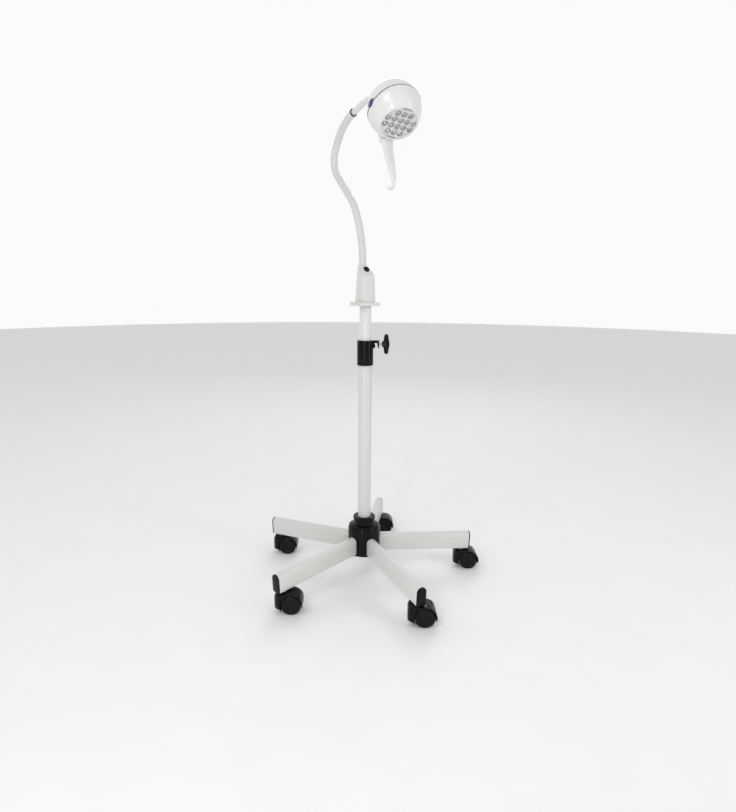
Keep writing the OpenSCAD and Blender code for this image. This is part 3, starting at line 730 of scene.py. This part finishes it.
def make_front_shell():
    """Hollow front shell with a rolled lip round the lens window."""
    bm = bmesh.new()
    lip_r = front_radius(FRONT_Z + LIP_H)
    lip = [
        (lip_r, FRONT_Z + LIP_H), (lip_r - 0.75 * MM, FRONT_Z + 0.9 * MM),
        (lip_r - 1.9 * MM, FRONT_Z + 0.15 * MM), (PLATE_R + 1.2 * MM, FRONT_Z),
        (PLATE_R + 0.4 * MM, FRONT_Z + 0.25 * MM), (PLATE_R + 0.05 * MM, FRONT_Z + 0.9 * MM),
        (PLATE_R + 0.05 * MM, FRONT_Z + 3.6 * MM),
    ]

    def wall(depth, share, end_z):
        def point(turn):
            top = seam_height(turn) - SEAM_HALF
            z = top + (end_z - top) * share
            return front_radius(z) - depth, z
        return point

    rings = [
        ring_of(bm, wall(0, k / FRONT_STEPS, lip[0][1])) for k in range(FRONT_STEPS)
    ]
    for radius, z in lip:
        rings.append(ring_of(bm, lambda turn, r=radius, h=z: (r, h)))
    inner_end = FRONT_Z + 5 * MM
    for k in range(FRONT_STEPS, -1, -1):
        rings.append(ring_of(bm, wall(SHELL_T, k / FRONT_STEPS, inner_end)))
    join_rings(bm, rings, around=True)
    round_edges(bm, 0.35 * MM, 2, sharp=50)
    bm.transform(HEAD)
    piece = finished(bm, "front_bezel", "head", "head_white", ["front_shell"])
    cut_ovals(piece)


def make_seam():
    """Grey band that fills the gap between the two shells."""
    bm = bmesh.new()
    inset = 0.4 * MM
    depth = 4 * MM
    sides = [(-SEAM_HALF, inset), (SEAM_HALF, inset), (SEAM_HALF, depth), (-SEAM_HALF, depth)]

    def corner(rise, inward):
        def point(turn):
            z = seam_height(turn) + rise
            return dome_radius(z) - inward, z
        return point

    join_rings(bm, [ring_of(bm, corner(*side)) for side in sides], around=True)
    bm.transform(HEAD)
    piece = finished(bm, "seam_gasket", "head", "seam_grey", ["seam_band"])
    cut_ovals(piece)


def oval_points(grow, steps=64):
    """Pointed oval in the head's YZ plane, its long axis along Y."""
    points = []
    for k in range(steps):
        turn = 2 * math.pi * k / steps
        y = (OVAL_LEN / 2 + grow) * math.cos(turn)
        z = (OVAL_W / 2 + grow) * math.copysign(abs(math.sin(turn)) ** 1.25, math.sin(turn))
        points.append((y, OVAL_Z + z))
    return points


def cut_ovals(piece):
    """Opens a shell for the two side buttons."""
    for side in (-1, 1):
        bm = bmesh.new()
        rings = [
            [bm.verts.new((side * x, y, z)) for y, z in oval_points(OVAL_GAP)]
            for x in OVAL_CUT
        ]
        join_rings(bm, rings)
        bm.faces.new(rings[0])
        bm.faces.new(rings[1])
        bm.transform(HEAD)
        boolean(piece, bm)


def make_side_button(side, body, node):
    """Oval push button, domed with the head and rolled at its edge."""
    bm = bmesh.new()
    steps = 64
    outline = oval_points(0, steps)

    def ring(scale, drop):
        points = []
        for y, z in outline:
            y, z = y * scale, OVAL_Z + (z - OVAL_Z) * scale
            out = z - BUTTON_CENTRE_Z
            x = math.sqrt((HEAD_R + BUTTON_PROUD - drop) ** 2 - y * y - out * out)
            points.append(bm.verts.new((side * x, y, z)))
        return points

    base = [bm.verts.new((side * BUTTON_BASE_X, y, z)) for y, z in outline]
    rings = [base, ring(1, 0.9 * MM), ring(0.985, 0.4 * MM), ring(0.94, 0.08 * MM)]
    rings += [ring(scale, 0) for scale in (0.86, 0.7, 0.45, 0.2)]
    top = math.sqrt((HEAD_R + BUTTON_PROUD) ** 2 - (OVAL_Z - BUTTON_CENTRE_Z) ** 2)
    rings.append([bm.verts.new((side * top, 0, OVAL_Z))])
    join_rings(bm, rings)
    bm.faces.new(base)
    bm.transform(HEAD)
    finished(bm, f"{node}_cap", body, "button_violet", [node])


# ---------- lenses ----------

SLOT_R = 37.4 * MM
SLOT_W = 1.8 * MM
SLOT_TURNS = (-32, -14, 14, 32)
SLOT_SPAN = 5
SLOT_DEPTHS = (-52 * MM, -47.2 * MM)
LENS_PITCH = 15.7 * MM
LENS_R = 6.45 * MM
LENS_BACK = -45.2 * MM
CUP_DEEP = -41 * MM
LENS_PLACES = [
    (column * LENS_PITCH, (row - 1.5) * LENS_PITCH)
    for row in range(4) for column in range(-2, 3)
    if abs(column) < 2 or row in (1, 2)
]


def lathe_at(bm, place, profile, steps):
    """Body of revolution about the axis through a lens's place."""
    verts = turned(bm, profile, steps)
    bmesh.ops.translate(bm, verts=verts, vec=(place[0], place[1], 0))


def slot_ring(bm, middle, depth):
    """Outline of a curved slot, its middle at an angle in degrees about the head's axis."""
    near = [(SLOT_R - SLOT_W / 2, end) for end in (-1, 0, 1)]
    far = [(SLOT_R + SLOT_W / 2, end) for end in (1, 0, -1)]
    ring = []
    for radius, end in near + far:
        turn = math.radians(middle + end * SLOT_SPAN / 2)
        ring.append(bm.verts.new((radius * math.cos(turn), radius * math.sin(turn), depth)))
    return ring


def make_window():
    """Lens window with short slots at its two sides, beside its long vents."""
    piece = rounded("window_plate", 0.3 * MM, 2)
    slots = bmesh.new()
    for middle in [side + turn for side in (0, 180) for turn in SLOT_TURNS]:
        rings = [slot_ring(slots, middle, depth) for depth in SLOT_DEPTHS]
        join_rings(slots, rings)
        slots.faces.new(rings[0])
        slots.faces.new(rings[1])
    slots.transform(HEAD)
    boolean(piece, slots)


# Outlines of a lens, its mirror cup (outside, then inside) and its lamp base, from one end
# to the other: (radius, z in the head's frame)
LENS_OUTLINE = [
    (0, -49.05 * MM), (1.6 * MM, -49.02 * MM), (3.4 * MM, -48.85 * MM), (5.2 * MM, -48.5 * MM),
    (LENS_R - 0.3 * MM, -48.15 * MM), (LENS_R, -47.85 * MM), (LENS_R, LENS_BACK), (0, LENS_BACK),
]
CUP_OUTLINE = [
    (LENS_R - 0.1 * MM, LENS_BACK + 0.1 * MM), (6 * MM, -43.8 * MM), (5 * MM, -42.4 * MM),
    (3.4 * MM, CUP_DEEP), (3.1 * MM, CUP_DEEP), (4.6 * MM, -42.6 * MM), (5.5 * MM, -43.9 * MM),
    (LENS_R - 0.6 * MM, LENS_BACK + 0.1 * MM),
]
BASE_OUTLINE = [
    (0, CUP_DEEP + 1.2 * MM), (3.6 * MM, CUP_DEEP + 1.2 * MM), (3.6 * MM, CUP_DEEP + 0.1 * MM),
    (1.5 * MM, CUP_DEEP - 0.1 * MM), (1.3 * MM, CUP_DEEP - 0.7 * MM), (0, CUP_DEEP - 0.9 * MM),
]
LENS_SIDES = 40
CUP_SIDES = 32


def cup_at(bm, place):
    """Mirror cup: its outline turned about the lens's own axis into a closed ring."""
    rings = []
    for radius, z in CUP_OUTLINE:
        rings.append([
            bm.verts.new((
                place[0] + radius * math.cos(2 * math.pi * k / CUP_SIDES),
                place[1] + radius * math.sin(2 * math.pi * k / CUP_SIDES), z,
            ))
            for k in range(CUP_SIDES)
        ])
    join_rings(bm, rings, around=True)


def make_lenses():
    """Sixteen clear lenses, each with a mirror cup and a dark lamp base behind it."""
    lenses = bmesh.new()
    cups = bmesh.new()
    bases = bmesh.new()
    for place in LENS_PLACES:
        lathe_at(lenses, place, LENS_OUTLINE, LENS_SIDES)
        lathe_at(bases, place, BASE_OUTLINE, CUP_SIDES)
        cup_at(cups, place)
    lenses.transform(HEAD)
    cups.transform(HEAD)
    bases.transform(HEAD)
    finished(lenses, "lens_array", "head", "lens_clear", ["lens_plate"])
    finished(cups, "mirror_cups", "head", "sink_aluminium")
    finished(bases, "lamp_bases", "head", "dark_nylon")


# ---------- handle ----------

# Sections of the handle in the head's frame, in mm, as TIP_LENGTH is:
# (Y, distance along the light, width, thickness)
HANDLE_SECTIONS = [
    (53, 42.4, 30, 14), (53.6, 47, 29, 14.5), (56.5, 62, 25, 14.5), (59.3, 82, 22, 14),
    (61.5, 100, 20, 12.5), (64.2, 118, 17.5, 11), (66.6, 132, 14, 9.5), (68.4, 142, 10.5, 8.5),
    (70.6, 148.6, 8.5, 8), (74.6, 152.6, 8, 7.6), (79.6, 153.6, 7.6, 7.4),
    (84.6, 151.6, 7.4, 7.2), (88.4, 147.2, 7, 7), (89.8, 142.2, 6.6, 6.8),
]
HANDLE_POWER = 0.8
PIN_R = 4.4 * MM
PIN_FOOT = -50 * MM
PIN_TOP = -24.4 * MM
PIN_Y = 53 * MM
PIN_CHAMFER = 0.8 * MM
HANDLE_STEPS = 110
HANDLE_SIDES = 40
TIP_LENGTH = 3.3
TIP_SHARES = (0.5, 0.8, 0.95)


def catmull(values, place):
    """Smooth curve through values; place counts them from 0."""
    last = len(values) - 1
    first = min(int(place), last - 1)
    t = place - first
    a, b = values[max(first - 1, 0)], values[first]
    c, d = values[first + 1], values[min(first + 2, last)]
    return 0.5 * (
        2 * b + (c - a) * t + (2 * a - 5 * b + 4 * c - d) * t * t
        + (3 * b - a - 3 * c + d) * t ** 3
    )


def power_curve(value):
    """Squares a sine or cosine off a little, so that a section is less round."""
    return math.copysign(abs(value) ** HANDLE_POWER, value)


def handle_samples():
    """Sections along the smooth line through HANDLE_SECTIONS, close together."""
    columns = list(zip(*HANDLE_SECTIONS))
    samples = []
    for k in range(HANDLE_STEPS + 1):
        place = k * (len(HANDLE_SECTIONS) - 1) / HANDLE_STEPS
        samples.append([catmull(column, place) for column in columns])
    return samples


def handle_ring(bm, samples, k):
    """One section of the handle, square to its line."""
    y, depth, width, thick = samples[k]
    before = samples[max(k - 1, 0)]
    after = samples[min(k + 1, HANDLE_STEPS)]
    way = Vector((0, after[0] - before[0], before[1] - after[1])).normalized()
    normal = Vector((0, -way.z, way.y))
    centre = Vector((0, y, -depth))
    ring = []
    for i in range(HANDLE_SIDES):
        turn = 2 * math.pi * i / HANDLE_SIDES
        across = Vector((power_curve(math.cos(turn)) * width / 2, 0, 0))
        deep = normal * (power_curve(math.sin(turn)) * thick / 2)
        ring.append(bm.verts.new((centre + across + deep) * MM))
    return ring


def handle_tip(bm, samples, last_ring):
    """Rings that close the hook's end in a round tip."""
    tip = Vector((0, samples[-1][0], -samples[-1][1]))
    way = (tip - Vector((0, samples[-4][0], -samples[-4][1]))).normalized()
    last = [vert.co.copy() for vert in last_ring]
    rings = []
    for share in TIP_SHARES:
        scale = math.sqrt(1 - share * share)
        middle = (tip + way * TIP_LENGTH * share) * MM
        rings.append([bm.verts.new(middle + (co - tip * MM) * scale) for co in last])
    rings.append([bm.verts.new((tip + way * TIP_LENGTH) * MM)])
    return rings


def make_handle():
    """Moulded pull-off handle: a tapering grip that ends in a small hook."""
    bm = bmesh.new()
    samples = handle_samples()
    rings = [handle_ring(bm, samples, k) for k in range(HANDLE_STEPS + 1)]
    rings += handle_tip(bm, samples, rings[-1])
    join_rings(bm, rings)
    bm.faces.new(rings[0])
    round_edges(bm, 0.8 * MM, 3, sharp=60)
    pin = turned(bm, [
        (0, PIN_FOOT), (PIN_R, PIN_FOOT), (PIN_R, PIN_TOP - PIN_CHAMFER),
        (PIN_R - PIN_CHAMFER, PIN_TOP), (0, PIN_TOP),
    ], 40)
    bmesh.ops.translate(bm, verts=pin, vec=(0, PIN_Y, 0))
    bm.transform(HEAD)
    finished(bm, "handle_moulding", "handle", "head_white", ["handle"], sharp=50)


# ---------- everything ----------

OWN_PIECES = {
    "base_housing", "power_button", "front_shell", "rear_shell", "seam_band", "lens_plate",
    "head_button_left", "head_button_right", "handle", "clamp_knob",
    "neck_link_1", "neck_link_2", "neck_link_3", "neck_link_4", "window_plate",
}


def paint_nodes():
    """Gives every CAD node the material of its slot."""
    for node, part in NODES.items():
        part.data.materials.clear()
        part.data.materials.append(MATERIALS[SLOT_OF[node]])


make_camera()
MATERIALS = make_materials()
make_floor()
make_lights()
paint_nodes()
for node_name in sorted(set(NODES) - OWN_PIECES):
    size = rounding_of(node_name)
    if size:
        rounded(node_name, size[0] * MM, size[1])
remeshed("clamp_knob", KNOB_VOXEL, 6)
make_housing()
make_power_button()
make_gooseneck()
make_rear_dome()
make_front_shell()
make_seam()
make_side_button(-1, "head_button_left", "head_button_left")
make_side_button(1, "head_button_right", "head_button_right")
make_window()
make_lenses()
make_handle()
